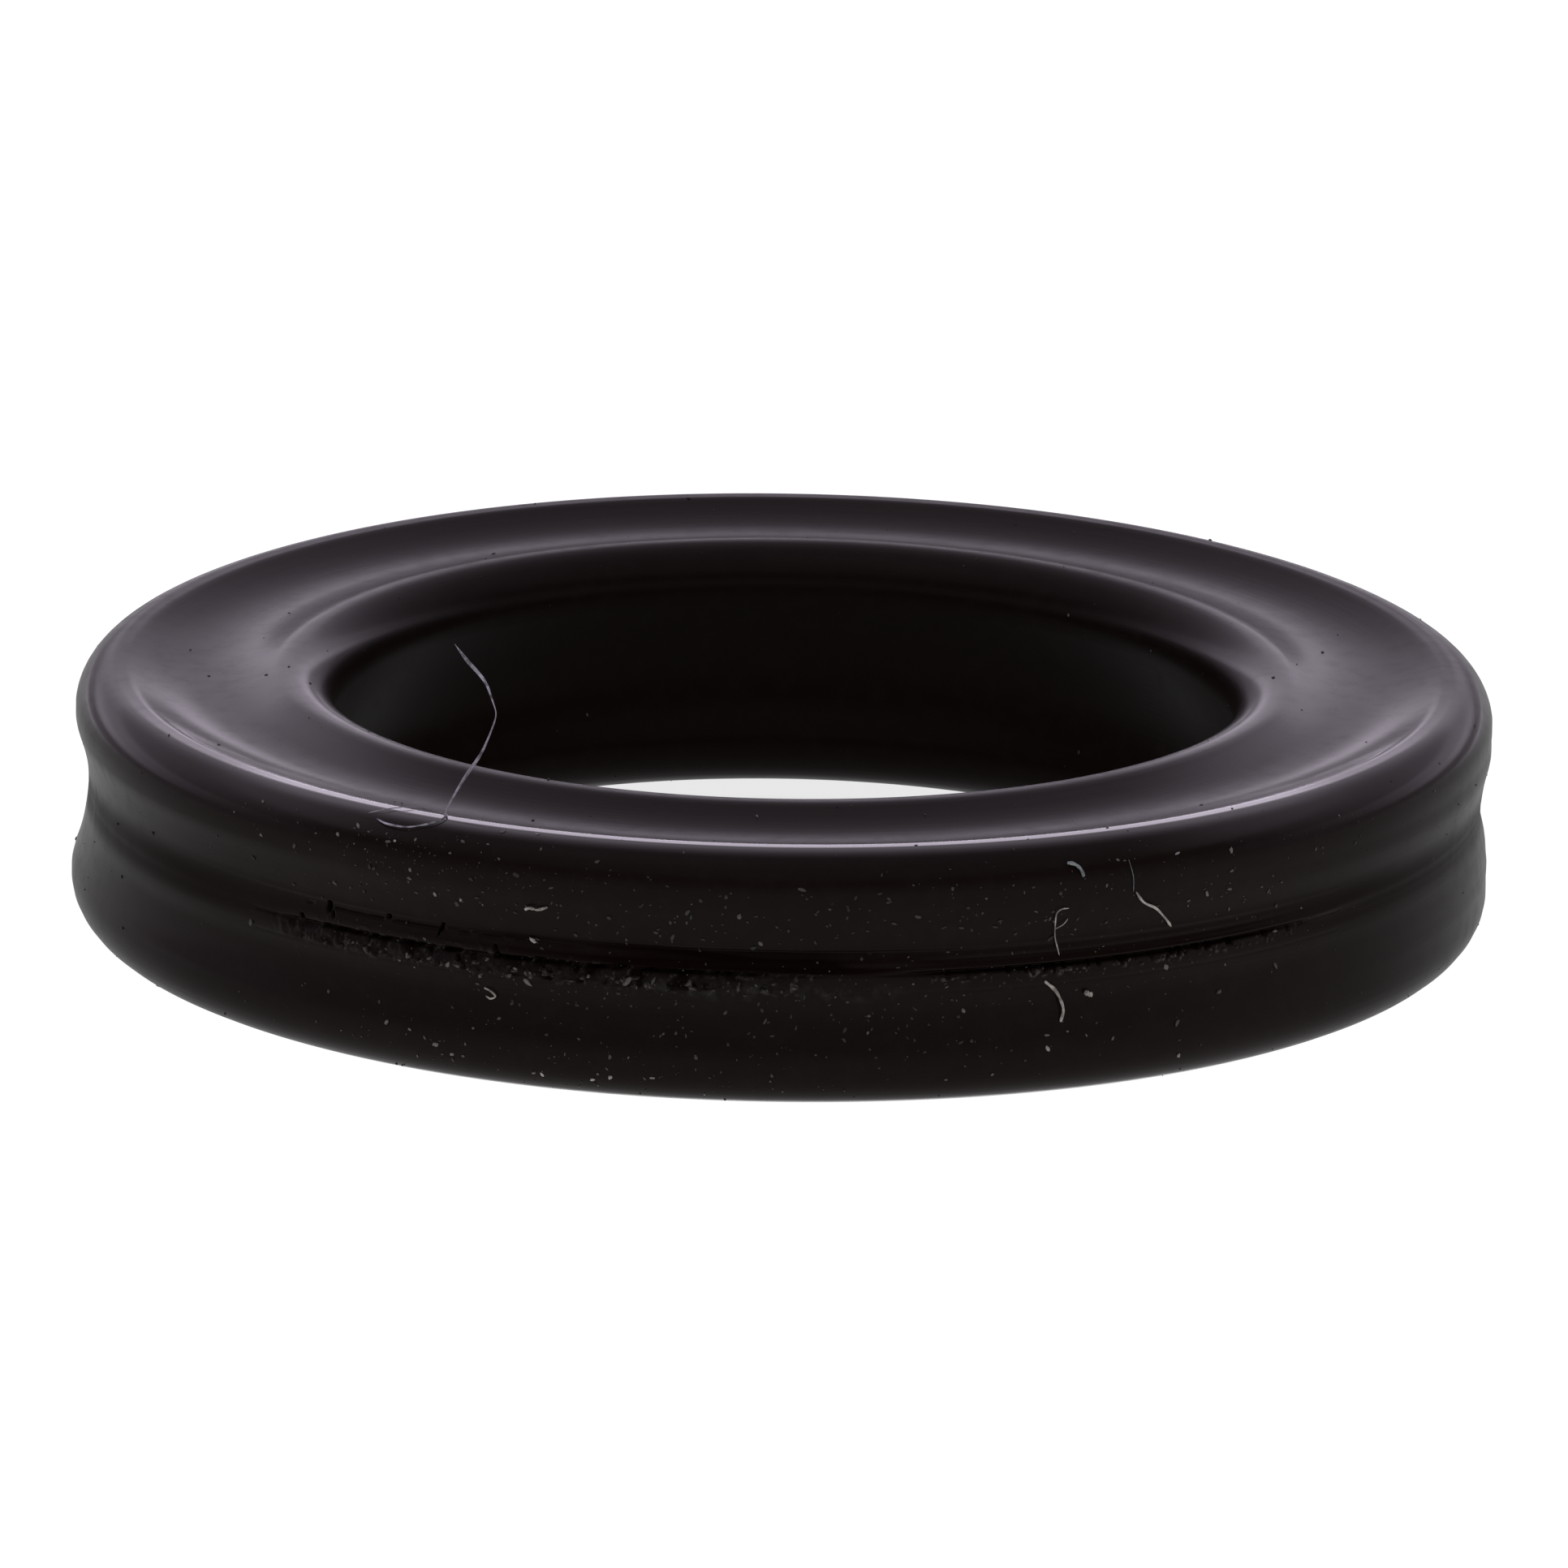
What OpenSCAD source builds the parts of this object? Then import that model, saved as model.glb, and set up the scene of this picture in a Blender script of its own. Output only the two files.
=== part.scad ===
// Quad ring seal (X-ring), AS568 size 110: a moulded rubber ring with a
// four-lobed section that seals a rod or a piston on two lobes at a time.
// It lies flat, the axis along +Z, the origin in the plane it rests on.

/* [Ring] */
// Inside diameter, over the crests of the two inner lobes
inside_diameter = 9.19; // [6:0.01:20]
// Width and height of the square section, over the lobe crests
section = 2.62; // [1.78:0.01:3.53]

/* [Section] */
// Radius of each corner lobe
lobe_radius = 0.45; // [0.3:0.01:0.5]
// Depth of the hollow between two lobes, below their crests
hollow_depth = 0.15; // [0.1:0.01:0.3]
// Width of the narrow land at the crest of each lobe, where it bears
crest_land = 0.12; // [0.06:0.01:0.2]

/* [Parting line] */
// Height of the moulded bead above the floor of the outer and inner hollows
bead_height = 0.08; // [0.04:0.01:0.2]
// Width of that bead at its foot
bead_width = 0.7; // [0.3:0.02:0.7]

/* [Hidden] */
half = section / 2;
mean_radius = inside_diameter / 2 + half;
// lobes, hollows and bead stay in proportion on a thin section
lobe_r = min(lobe_radius, 0.19 * section);
depth = min(hollow_depth, 0.12 * section);
bead_rise = min(bead_height, 0.75 * depth);
bead_half = min(bead_width, 0.28 * section) / 2;
bead_r = (pow(bead_rise, 2) + pow(bead_half, 2)) / (2 * bead_rise);
// the crest of a lobe's full arc would stand a hair above its land
crest_rise = lobe_r - sqrt(pow(lobe_r, 2) - pow(crest_land / 2, 2));
lobe_at = half + crest_rise - lobe_r;
// each hollow is one arc that runs a hair into the flanks of its two lobes
arc_lap = 0.003;
flank_r = lobe_r - arc_lap;
hollow_floor = half - depth;
floor_step = hollow_floor - lobe_at;
hollow_r = (pow(lobe_at, 2) + pow(floor_step, 2) - pow(flank_r, 2))
    / (2 * (flank_r - floor_step));
hollow_at = hollow_floor + hollow_r;
// where the arcs of a lobe and a hollow meet
flank_angle = atan2(lobe_at, hollow_at - lobe_at);
foot_x = lobe_at + (lobe_r - arc_lap / 2) * cos(flank_angle);
foot_y = lobe_at - (lobe_r - arc_lap / 2) * sin(flank_angle);
fine = 96;

// the body of the section between its four hollows
module core() {
    difference() {
        polygon([
            [foot_x, foot_y], [foot_y, foot_x],
            [-foot_y, foot_x], [-foot_x, foot_y],
            [-foot_x, -foot_y], [-foot_y, -foot_x],
            [foot_y, -foot_x], [foot_x, -foot_y]
        ]);
        for (a = [0 : 90 : 270])
            rotate(a) translate([hollow_at, 0])
                circle(r = hollow_r, $fn = 4 * fine);
    }
}

module lobes() {
    for (x = [-lobe_at, lobe_at], y = [-lobe_at, lobe_at])
        translate([x, y]) circle(r = lobe_r, $fn = fine);
}

// the low rounded bead where the halves of the mould meet
module parting_bead() {
    intersection() {
        translate([hollow_floor + bead_rise - bead_r, 0])
            circle(r = bead_r, $fn = 2 * fine);
        translate([hollow_floor - depth, -half])
            square([2 * depth, section]);
    }
}

module quad_section() {
    intersection() {
        square(section, center = true);
        union() {
            core();
            lobes();
            parting_bead();
            mirror([1, 0]) parting_bead();
        }
    }
}

module quad_ring() {
    color([0.05, 0.045, 0.045])
        translate([0, 0, half])
            rotate_extrude($fn = 2 * fine)
                translate([mean_radius, 0]) quad_section();
}

quad_ring();
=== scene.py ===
"""Quad ring seal, dressed: the moulded rubber ring with its parting line, torn flash, lint and dust.

Every surface is worked out with numpy in millimetres, in the frame of the CAD solid, and is
put into its mesh in metres. Angles round the ring are in degrees, counted from the front, which
is -Y, towards +X. A place on the section is its run along the outline in millimetres, counted
from the middle of the outer side: up over the top is positive, down is negative.
"""
import math

import bpy
import numpy as np
from mathutils import Matrix, Vector


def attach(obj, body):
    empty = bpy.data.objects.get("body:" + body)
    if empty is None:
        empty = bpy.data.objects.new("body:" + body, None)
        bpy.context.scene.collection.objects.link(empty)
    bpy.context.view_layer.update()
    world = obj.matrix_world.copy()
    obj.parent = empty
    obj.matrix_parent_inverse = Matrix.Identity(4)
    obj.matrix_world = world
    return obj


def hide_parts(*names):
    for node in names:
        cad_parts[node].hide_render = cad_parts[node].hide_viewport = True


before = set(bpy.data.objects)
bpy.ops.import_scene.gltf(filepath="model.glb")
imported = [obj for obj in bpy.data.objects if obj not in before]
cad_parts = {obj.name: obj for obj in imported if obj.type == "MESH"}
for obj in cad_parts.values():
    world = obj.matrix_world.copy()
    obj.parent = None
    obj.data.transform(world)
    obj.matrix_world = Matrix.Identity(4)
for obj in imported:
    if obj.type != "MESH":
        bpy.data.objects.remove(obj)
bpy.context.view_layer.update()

MM = 0.001

# ---------------------------------------------------------------- the ring's named sizes, mm
MEAN_RADIUS = 5.905       # axis of the ring to the middle of its section
HALF_SECTION = 1.31       # middle of the section to each side
LOBE_RADIUS = 0.454
LOBE_AT = 0.86            # middle of the section to the middle of a lobe; crests are cut flat at HALF_SECTION
HOLLOW_FLOOR = 1.16       # middle of the section to the floor of a hollow
HOLLOW_RADIUS = (((HOLLOW_FLOOR - LOBE_AT) ** 2 + LOBE_AT ** 2 - LOBE_RADIUS ** 2)
                 / (2 * (LOBE_RADIUS - HOLLOW_FLOOR + LOBE_AT)))
HOLLOW_AT = HOLLOW_FLOOR + HOLLOW_RADIUS
FOOT_TURN = math.atan2(LOBE_AT, HOLLOW_AT - LOBE_AT)
ARC_STEPS = 400           # steps of each arc in the outline's table

SEAM_RISE = 0.078         # the moulds part a little above the middle of the section
SEAM_TILT = 0.030         # and this much higher at the right side, lower at the left
LOWER_SLIP = (-0.030, 0.010)   # how far the lower mould half sits out of line, along X and Y
SPRUNG = 0.15             # the ring lies a little sprung: the top of its far side is this much higher
THINNER = 0.09            # and its section is this much lower there, so that its underside rises by both
SLIP_FROM, SLIP_TO = 0.006, 0.010    # the slip sets in from this far above the seam to this far below it
SLIP_SPREADS = ((0.08, 44, 54), (0.30, 52, 66))    # what is added to both, each between two angles

# forms of the outer side at the moulds' parting: how far each stands out or cuts in
RIDGE = 0.074
FILL, FILL_BELOW = 0.062, 0.040
SHARP_GROOVE, TORN_GROOVE, SOFT_GROOVE, HAIR_GROOVE = 0.075, 0.040, 0.030, 0.008
FOLD, SOFT_FOLD = 0.020, 0.050
SCORED_LINE = 0.005

# the two fine strips over the parting line
STRIPS = ((-48.0, 7.6), (6.8, 52.0))     # the angles that they cover
STRIP_LOW, STRIP_HIGH = -0.24, 0.38      # and the heights
STRIP_LET_IN = 0.09                      # depth to which the ring's own surface is let in under them
STRIP_BACK = 0.12                        # depth of their backs
STRIP_OVER = 0.0012                      # rise of their faces from their borders to their middles
STRIP_UNDER = 0.0004                     # depth of their borders under the ring's surface
STRIP_TUCK = 0.02                        # how far their outermost rims bend down
STRIP_COLUMNS, STRIP_ROWS = 850, 58
WALL_RADIUS = 7.07                       # turns an angle on the strips into a length along them


# ---------------------------------------------------------------- numbers that repeat the same way each run
def lattice_value(ix, iy, seed):
    """A value from 0 to 1 for each whole-numbered lattice point, from the broken part of a large sine."""
    return np.modf(np.abs(np.sin(ix * 127.1 + iy * 311.7 + seed * 74.7) * 43758.5453))[0]


def smooth_noise(x, y, seed):
    """Values from 0 to 1 that vary smoothly over x and y: lattice values blended by 3t^2 - 2t^3
    between neighbours."""
    ix, iy = np.floor(x), np.floor(y)
    tx, ty = x - ix, y - iy
    tx, ty = tx * tx * (3 - 2 * tx), ty * ty * (3 - 2 * ty)
    low = lattice_value(ix, iy, seed) * (1 - tx) + lattice_value(ix + 1, iy, seed) * tx
    high = lattice_value(ix, iy + 1, seed) * (1 - tx) + lattice_value(ix + 1, iy + 1, seed) * tx
    return low * (1 - ty) + high * ty


def ease(x, start, end):
    """0 before start, 1 after end and 3t^2 - 2t^3 in between. start may be the larger one."""
    t = np.clip((x - start) / (end - start), 0, 1)
    return t * t * (3 - 2 * t)


def within(x, low, full_low, full_high, high):
    """1 from full_low to full_high, eased to 0 at low and at high."""
    return ease(x, low, full_low) * ease(x, high, full_high)


def hill(x, middle, width):
    """A bell of height 1 round middle, down to 1/e one width away."""
    return np.exp(-(((x - middle) / width) ** 2))


def plateau(x, half_width):
    """1 round 0 with a flat top, down to 1/e at half_width: e to minus the fourth power."""
    return np.exp(-((np.abs(x) / half_width) ** 4))


def centred(angle):
    """The same angle, from -180 to 180."""
    return (angle + 180) % 360 - 180


# ---------------------------------------------------------------- the section and the ring's surface
def outline_table():
    """The quad outline as a dense table of run, out, up and outward normal.
    Each quarter is a hollow arc about a point standing off the side, then a lobe arc about the corner
    point. The two share a tangent where they meet, and the lobe's two crests are cut flat. The next
    quarter is the same one turned a quarter turn."""
    hollow = np.linspace(-FOOT_TURN, FOOT_TURN, ARC_STEPS, endpoint=False)
    lobe = np.linspace(-FOOT_TURN, math.pi / 2 + FOOT_TURN, ARC_STEPS, endpoint=False)
    out = np.concatenate([HOLLOW_AT - HOLLOW_RADIUS * np.cos(hollow), LOBE_AT + LOBE_RADIUS * np.cos(lobe)])
    up = np.concatenate([HOLLOW_RADIUS * np.sin(hollow), LOBE_AT + LOBE_RADIUS * np.sin(lobe)])
    normal_out = np.concatenate([np.cos(hollow), np.cos(lobe)])
    normal_up = np.concatenate([-np.sin(hollow), np.sin(lobe)])
    for along, off, along_normal, off_normal in ((out, up, normal_out, normal_up),
                                                 (up, out, normal_up, normal_out)):
        flat = along > HALF_SECTION
        along[flat], along_normal[flat], off_normal[flat] = HALF_SECTION, 1, 0
    quarters = []
    for _ in range(4):
        quarters.append(np.stack([out, up, normal_out, normal_up]))
        out, up, normal_out, normal_up = -up, out, -normal_up, normal_out
    table = np.concatenate(quarters, 1)
    table = np.concatenate([table, table[:, :1]], 1)
    run = np.concatenate([[0], np.cumsum(np.hypot(np.diff(table[0]), np.diff(table[1])))])
    return run - HOLLOW_RADIUS * FOOT_TURN, run[-1], table


RUN, RUN_ROUND, OUTLINE = outline_table()


def on_outline(run):
    """Out, up and normal of the plain section at each run, read off the table."""
    wrapped = np.mod(run - RUN[0], RUN_ROUND) + RUN[0]
    return [np.interp(wrapped, RUN, row) for row in OUTLINE]


def seam_at(angle):
    """Height of the moulds' parting above the middle of the section, mm: its rise, tilted by the sine of
    the angle."""
    return SEAM_RISE + SEAM_TILT * np.sin(np.radians(angle))


def parting_shape(angle, up):
    """How far the outer side stands out of its plain hollow at the moulds' parting, in mm.
    It is a low ridge with a long upper slope and a short lower one, and on the right a broad fill of
    the hollow, less the groove along the seam, a small fold over the ridge that cuts in at once from
    above and comes out slowly below, and a fine scored line under the seam."""
    seam = seam_at(angle)
    front = plateau(angle, 68)
    ridge = RIDGE * front * within(up, -0.34, -0.02, seam + 0.01, 0.40)
    right = (0.5 + 0.5 * np.sin(np.radians(angle))) ** 3
    fill = right * (FILL * within(up, -0.80, -0.55, 0.55, 0.80) + FILL_BELOW * hill(up, -0.33, 0.2))
    sharp = within(angle, 7, 17, 38, 50)
    torn = within(angle, -47, -40, -8, 2)
    soft = hill(angle, -0.5, 9.0)
    groove = (sharp * SHARP_GROOVE * hill(up, seam + 0.004, 0.021)
              + torn * TORN_GROOVE * hill(up, seam - 0.01, 0.055)
              + soft * SOFT_GROOVE * hill(up, seam + 0.06, 0.04)
              + HAIR_GROOVE * hill(up, seam, 0.018))
    fold_depth = FOLD * plateau(angle, 46) + SOFT_FOLD * soft
    fold = fold_depth * ease(up, 0.335, 0.300) * np.clip((up - 0.10) / 0.20, 0, 1)
    scored = SCORED_LINE * front * hill(up, seam - 0.20, 0.014)
    return ridge + fill - groove - fold - scored


def under_strips(angle, up):
    """How deep the ring's own surface is let in under the fine strips, mm: the full depth inside them,
    eased to nothing before their borders."""
    share = sum(within(angle, start + 1.0, start + 2.0, end - 2.0, end - 1.0) for start, end in STRIPS)
    share = share * within(up, STRIP_LOW + 0.05, STRIP_LOW + 0.08, STRIP_HIGH - 0.08, STRIP_HIGH - 0.05)
    return STRIP_LET_IN * share


def ring_surface(angle, run, lift=0.0, let_in=0.0):
    """Points of the ring's surface, mm: the quad section carried round the axis at the mean radius.
    The outer side is pushed out by parting_shape. Everything under the seam slips sideways with the
    lower mould half, in a step that spreads over more height towards the left and right sides. Points
    rise with the square of their distance from the front, at the top by SPRUNG and at the underside by
    THINNER more. lift moves a point off the surface along its normal and let_in moves one of the outer
    side inwards."""
    angle, run = np.broadcast_arrays(np.asarray(angle, float), np.asarray(run, float))
    out, up, normal_out, normal_up = on_outline(run)
    turn = np.radians(angle)
    outer_side = ease(out, 0.95, 1.1) * ease(np.abs(up), 0.8, 0.7)
    reach = MEAN_RADIUS + out + outer_side * (parting_shape(angle, up) - let_in) + lift * normal_out
    aside = np.abs(centred(angle))
    spread = sum(added * ease(aside, start, end) for added, start, end in SLIP_SPREADS)
    below = ease(up, seam_at(angle) + SLIP_FROM + spread, seam_at(angle) - SLIP_TO - spread)
    back = -reach * np.cos(turn) + LOWER_SLIP[1] * below
    behind = (0.5 + 0.5 * back / (MEAN_RADIUS + HALF_SECTION)) ** 2
    sprung = behind * (SPRUNG + THINNER * (0.5 - 0.5 * up / HALF_SECTION))
    return np.stack([reach * np.sin(turn) + LOWER_SLIP[0] * below, back,
                     HALF_SECTION + up + lift * normal_up + sprung], -1)


def ring_normal(angle, run):
    """Outward normal of the plain ring at angle and run: the section's normal turned round the axis."""
    _, _, normal_out, normal_up = on_outline(np.asarray(run, float))
    turn = np.radians(np.asarray(angle, float))
    return np.stack([normal_out * np.sin(turn), -normal_out * np.cos(turn), normal_up + 0 * turn], -1)


# ---------------------------------------------------------------- meshes
def put_in_mesh(name, points, quads, finish):
    """A smooth mesh object from points in mm and rows of corner numbers, riding on the root body.
    Its faces are turned outwards by the sign of the volume that they enclose: the sum of the triple
    products of each face's corners."""
    corners = points[quads]
    first = corners[:, 0]
    volume = sum(np.einsum("ij,ij->", first, np.cross(corners[:, k], corners[:, k + 1]))
                 for k in range(1, quads.shape[1] - 1))
    if volume < 0:
        quads = quads[:, ::-1]
    mesh = bpy.data.meshes.new(name)
    mesh.from_pydata((points * MM).tolist(), [], quads.tolist())
    mesh.update()
    mesh.polygons.foreach_set("use_smooth", np.ones(len(mesh.polygons), bool))
    mesh.materials.append(finish)
    piece = bpy.data.objects.new(name, mesh)
    bpy.context.scene.collection.objects.link(piece)
    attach(piece, "root")
    return piece


def mark_points(piece, label, values):
    """Gives each point of the piece a number, which its finish reads by the label."""
    numbers = piece.data.attributes.new(label, "FLOAT", "POINT")
    numbers.data.foreach_set("value", np.ravel(values).astype(np.float32))


def closed_both_ways(rows, columns):
    """Quads of a grid whose rows and columns both close on themselves, as on a ring."""
    i, j = np.meshgrid(np.arange(rows), np.arange(columns), indexing="ij")
    ahead, beside = (i + 1) % rows, (j + 1) % columns
    corners = [i * columns + j, ahead * columns + j, ahead * columns + beside, i * columns + beside]
    return np.stack(corners, -1).reshape(-1, 4)


def capped_tube(rows, columns):
    """Quads of a closed tube: a grid whose columns close on themselves and whose rows run from one end
    to the other, with each end closed by a row of quads that joins its two halves."""
    walls = closed_both_ways(rows, columns).reshape(rows, columns, 4)[:-1].reshape(-1, 4)
    half = np.arange(columns // 2 - 1)
    cap = np.stack([half, half + 1, columns - 2 - half, columns - 1 - half], -1)
    return np.concatenate([walls, cap[:, ::-1], cap + (rows - 1) * columns])


def strand(path, half_width, half_thickness, facing, sides=8):
    """Points and quads of a closed strand: an ellipse carried along the path. Its long axis is the cross
    product of the path's direction and facing, and it shrinks to a blunt tip at both ends."""
    direction = np.gradient(path, axis=0)
    direction /= np.linalg.norm(direction, axis=1, keepdims=True)
    across = np.cross(direction, facing)
    across /= np.linalg.norm(across, axis=1, keepdims=True)
    away = np.cross(across, direction)
    steps = np.linspace(0, 1, len(path))
    tip = np.sqrt(np.clip(1 - (2 * steps - 1) ** 20, 0.0016, 1))[:, None, None]
    turn = np.arange(sides) * 2 * math.pi / sides
    ring = (across[:, None] * (np.cos(turn)[:, None] * np.reshape(half_width, (-1, 1, 1)))
            + away[:, None] * (np.sin(turn)[:, None] * np.reshape(half_thickness, (-1, 1, 1))))
    points = path[:, None] + ring * tip
    return points.reshape(-1, 3), capped_tube(len(path), sides)


def through(knots, steps):
    """A smooth path through the knots: Catmull-Rom cubics, sampled evenly between knots."""
    knots = np.asarray(knots, float)
    padded = np.concatenate([2 * knots[:1] - knots[1:2], knots, 2 * knots[-1:] - knots[-2:-1]])
    t = np.linspace(0, len(knots) - 1, steps)
    k = np.minimum(t.astype(int), len(knots) - 2)
    t = (t - k)[:, None]
    a, b, c, d = padded[k], padded[k + 1], padded[k + 2], padded[k + 3]
    return 0.5 * (2 * b + (c - a) * t + (2 * a - 5 * b + 4 * c - d) * t ** 2 + (3 * b - a - 3 * c + d) * t ** 3)


# ---------------------------------------------------------------- finishes
class Value:
    """A socket in a finish. Arithmetic on it adds Math nodes."""

    def __init__(self, finish, socket):
        self.finish, self.socket = finish, socket

    def math(self, operation, *others):
        """A Math node's result for this value and the others."""
        return self.finish.add("ShaderNodeMath", {"operation": operation}, dict(enumerate([self, *others])))

    def __add__(self, other):
        return self.math("ADD", other)

    def __sub__(self, other):
        return self.math("SUBTRACT", other)

    def __rsub__(self, other):
        return self.finish.add("ShaderNodeMath", {"operation": "SUBTRACT"}, {0: other, 1: self})

    def __mul__(self, other):
        return self.math("MULTIPLY", other)

    __radd__, __rmul__ = __add__, __mul__

    def between(self, start, end):
        """0 at start, 1 at end, smooth in between and flat outside."""
        return self.finish.add("ShaderNodeMapRange", {"interpolation_type": "SMOOTHSTEP"},
                               {"Value": self, "From Min": start, "From Max": end})

    def within(self, low, full_low, full_high, high):
        """1 from full_low to full_high, eased to 0 at low and at high."""
        return self.between(low, full_low) * self.between(high, full_high)

    def near(self, middle, far, close):
        """1 up to close away from middle on both sides, eased to 0 at far away from it."""
        return (self - middle).math("ABSOLUTE").between(far, close)


class Finish:
    """A material, or the world, with an empty node tree."""

    def __init__(self, owner):
        self.owner = owner
        owner.use_nodes = True
        self.tree = owner.node_tree
        self.tree.nodes.clear()

    def add(self, kind, settings=None, inputs=None, out=0):
        """Adds a node: its kind, its settings, then the numbers or links of its sockets. Gives the socket
        named or numbered out. A ramp setting is a row of stops, each a place and a colour."""
        node = self.tree.nodes.new(kind)
        for key, setting in (settings or {}).items():
            if key == "ramp":
                while len(node.color_ramp.elements) < len(setting):
                    node.color_ramp.elements.new(0.5)
                for element, (place, colour) in zip(node.color_ramp.elements, setting):
                    element.position, element.color = place, (*colour, 1)
            else:
                setattr(node, key, setting)
        for key, value in (inputs or {}).items():
            if isinstance(value, Value):
                self.tree.links.new(value.socket, node.inputs[key])
            else:
                node.inputs[key].default_value = value
        return Value(self, node.outputs[out]) if len(node.outputs) else node

    def mix(self, share, one, other):
        """The colour that lies share of the way from one to other."""
        one, other = (colour if isinstance(colour, Value) else (*colour, 1) for colour in (one, other))
        return self.add("ShaderNodeMix", {"data_type": "RGBA"}, {0: share, 6: one, 7: other}, out=2)

    def place(self):
        """Object coordinates in millimetres."""
        here = self.add("ShaderNodeTexCoord", out="Object")
        return self.add("ShaderNodeVectorMath", {"operation": "SCALE"}, {0: here, "Scale": 1 / MM})

    def parts(self, vector):
        """The vector's x, y and z."""
        split = self.add("ShaderNodeSeparateXYZ", inputs={0: vector})
        return [Value(self, part) for part in split.socket.node.outputs]

    def vector(self, x, y, z):
        """The vector made of x, y and z."""
        return self.add("ShaderNodeCombineXYZ", inputs={0: x, 1: y, 2: z})

    def noise(self, vector, scale, detail=2.0, roughness=0.5):
        """Fractal noise over the vector, scale lumps to the millimetre."""
        return self.add("ShaderNodeTexNoise",
                        inputs={"Vector": vector, "Scale": scale, "Detail": detail, "Roughness": roughness})

    def mark(self, label):
        """The number that the mesh holds at each point under the label."""
        return self.add("ShaderNodeAttribute", {"attribute_name": label}, out="Fac")

    def bump(self, height, strength, distance):
        """The surface's normal tilted by the height; distance in metres."""
        return self.add("ShaderNodeBump", inputs={"Strength": strength, "Distance": distance, "Height": height})

    def surface(self, matt_shade=None, **inputs):
        """A Principled surface joined to the output. Spaces in socket names are written as underscores.
        Where its share is given, a dark matt surface without any shine is mixed in: painted shade."""
        shader = self.add("ShaderNodeBsdfPrincipled", inputs={k.replace("_", " "): v for k, v in inputs.items()})
        if matt_shade is not None:
            matt = self.add("ShaderNodeBsdfDiffuse", inputs={"Color": (*MATT_SHADE_BROWN, 1)})
            shader = self.add("ShaderNodeMixShader", inputs={0: matt_shade, 1: shader, 2: matt})
        self.add("ShaderNodeOutputMaterial", inputs={"Surface": shader})
        return self.owner


# colours of the rubber and of what clings to it, and of its painted shade
RUBBER = (0.0054, 0.0029, 0.0024)
BLOOM = (0.0078, 0.0052, 0.0045)
# partly the parting line's own browner tone, partly painted shade in its crease
SEAM_SHADE_BROWN = (0.0036, 0.0012, 0.0007)
# colour of the matt painted shade in the creases and at the outer wall's sides
MATT_SHADE_BROWN = (0.0030, 0.0013, 0.0009)
DUST_FILM = (0.0135, 0.0140, 0.0125)
TORN_GREY = (0.0105, 0.0080, 0.0090)
CRUMB_PALE = (0.070, 0.064, 0.058)
DUST_DARK = (0.03, 0.028, 0.028)
DUST_TONES = ((0.0, (0.012, 0.010, 0.0095)), (0.45, (0.14, 0.122, 0.120)),
              (0.75, (0.30, 0.28, 0.285)), (1.0, (0.55, 0.53, 0.52)))
LINT_TONES = {"pale": ((0.045, 0.040, 0.048), (0.36, 0.34, 0.40)),
              "blue": ((0.06, 0.07, 0.07), (0.20, 0.22, 0.22)),
              "warm": ((0.10, 0.09, 0.08), (0.36, 0.33, 0.30))}

RUBBER_SPECULAR = 0.05
COAT_ROUGHNESS, COAT_IOR = 0.13, 1.5
CREST_GLOSS, LOBE_GLOSS, HOLE_GLOSS, SHOULDER_GLOSS = 0.85, 0.46, 0.18, 0.05
SIDE_WALL_SHADE, WALL_HOLLOW_SHADE = 0.30, 0.34       # painted shade on the outer wall's sides, and more in its hollow
MOST_CREASE_SHADE = 0.92                          # most painted shade that the creases may have

# where the finishes change, mm: radii from the axis, and heights over the floor
CREST_AT = 6.78           # radius of the outer lobes' crests
TOP_HOLLOW_AT = 5.8       # radius of the top's hollow
WALL_FROM = (6.9, 7.05)   # radii between which the outer wall's own looks set in
TOP_FROM = (2.32, 2.52)   # heights between which the top's looks set in


def burnished(x, y, z, radius):
    """Where the rubber is burnished: the share of the front crest, and the weight of the clear coat.
    The coat is strong on the outer lobes' crest at the front. On the top's left and right shoulders it
    is weak, and grows towards the front on both lobes and towards the hole."""
    crest = radius.near(CREST_AT, 0.24, 0.06) * y.between(-3.6, -5.2)
    shoulders = x.math("ABSOLUTE").between(3.2, 5.6) * z.between(*TOP_FROM)
    on_lobes = 1 - radius.near(TOP_HOLLOW_AT, 0.50, 0.10)
    weight = SHOULDER_GLOSS + y.between(0.5, -3.4) * on_lobes * LOBE_GLOSS + radius.between(6.2, 5.0) * HOLE_GLOSS
    return crest, (crest * CREST_GLOSS + shoulders * weight).math("MINIMUM", 1.0)


def painted_matt_shade(x, y, up, radius, patches):
    """Share of painted shade, laid on as a dark matt surface without shine. At the front it is the upper and
    the lower crease along the parting line, which both sink a little towards the right, and the ground between
    them. At the left and right it is the outer wall, most of all the middle of its hollow."""
    upper = (up + x.between(-1.35, 0.0) * 0.11).near(0.30, 0.055, 0.012) * x.within(-4.6, -2.2, 0.3, 1.2)
    lower = (up + x.between(-0.4, 1.2) * 0.05).near(0.155, 0.060, 0.014) * x.within(-4.2, -1.4, 0.5, 1.6)
    ground = up.near(0.185, 0.14, 0.07) * x.within(-2.1, -1.1, 0.3, 0.85)
    creases = (upper * (patches + 0.15) + lower * 0.75 + ground * 0.5).math("MINIMUM", MOST_CREASE_SHADE)
    creases = creases * radius.between(*WALL_FROM) * y.between(0.0, -1.0)
    sides = x.math("ABSOLUTE").between(4.0, 6.1) * radius.between(6.85, 7.0)
    return creases.math("MAXIMUM", sides * (up.near(0.10, 0.30, 0.08) * WALL_HOLLOW_SHADE + SIDE_WALL_SHADE))


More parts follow.
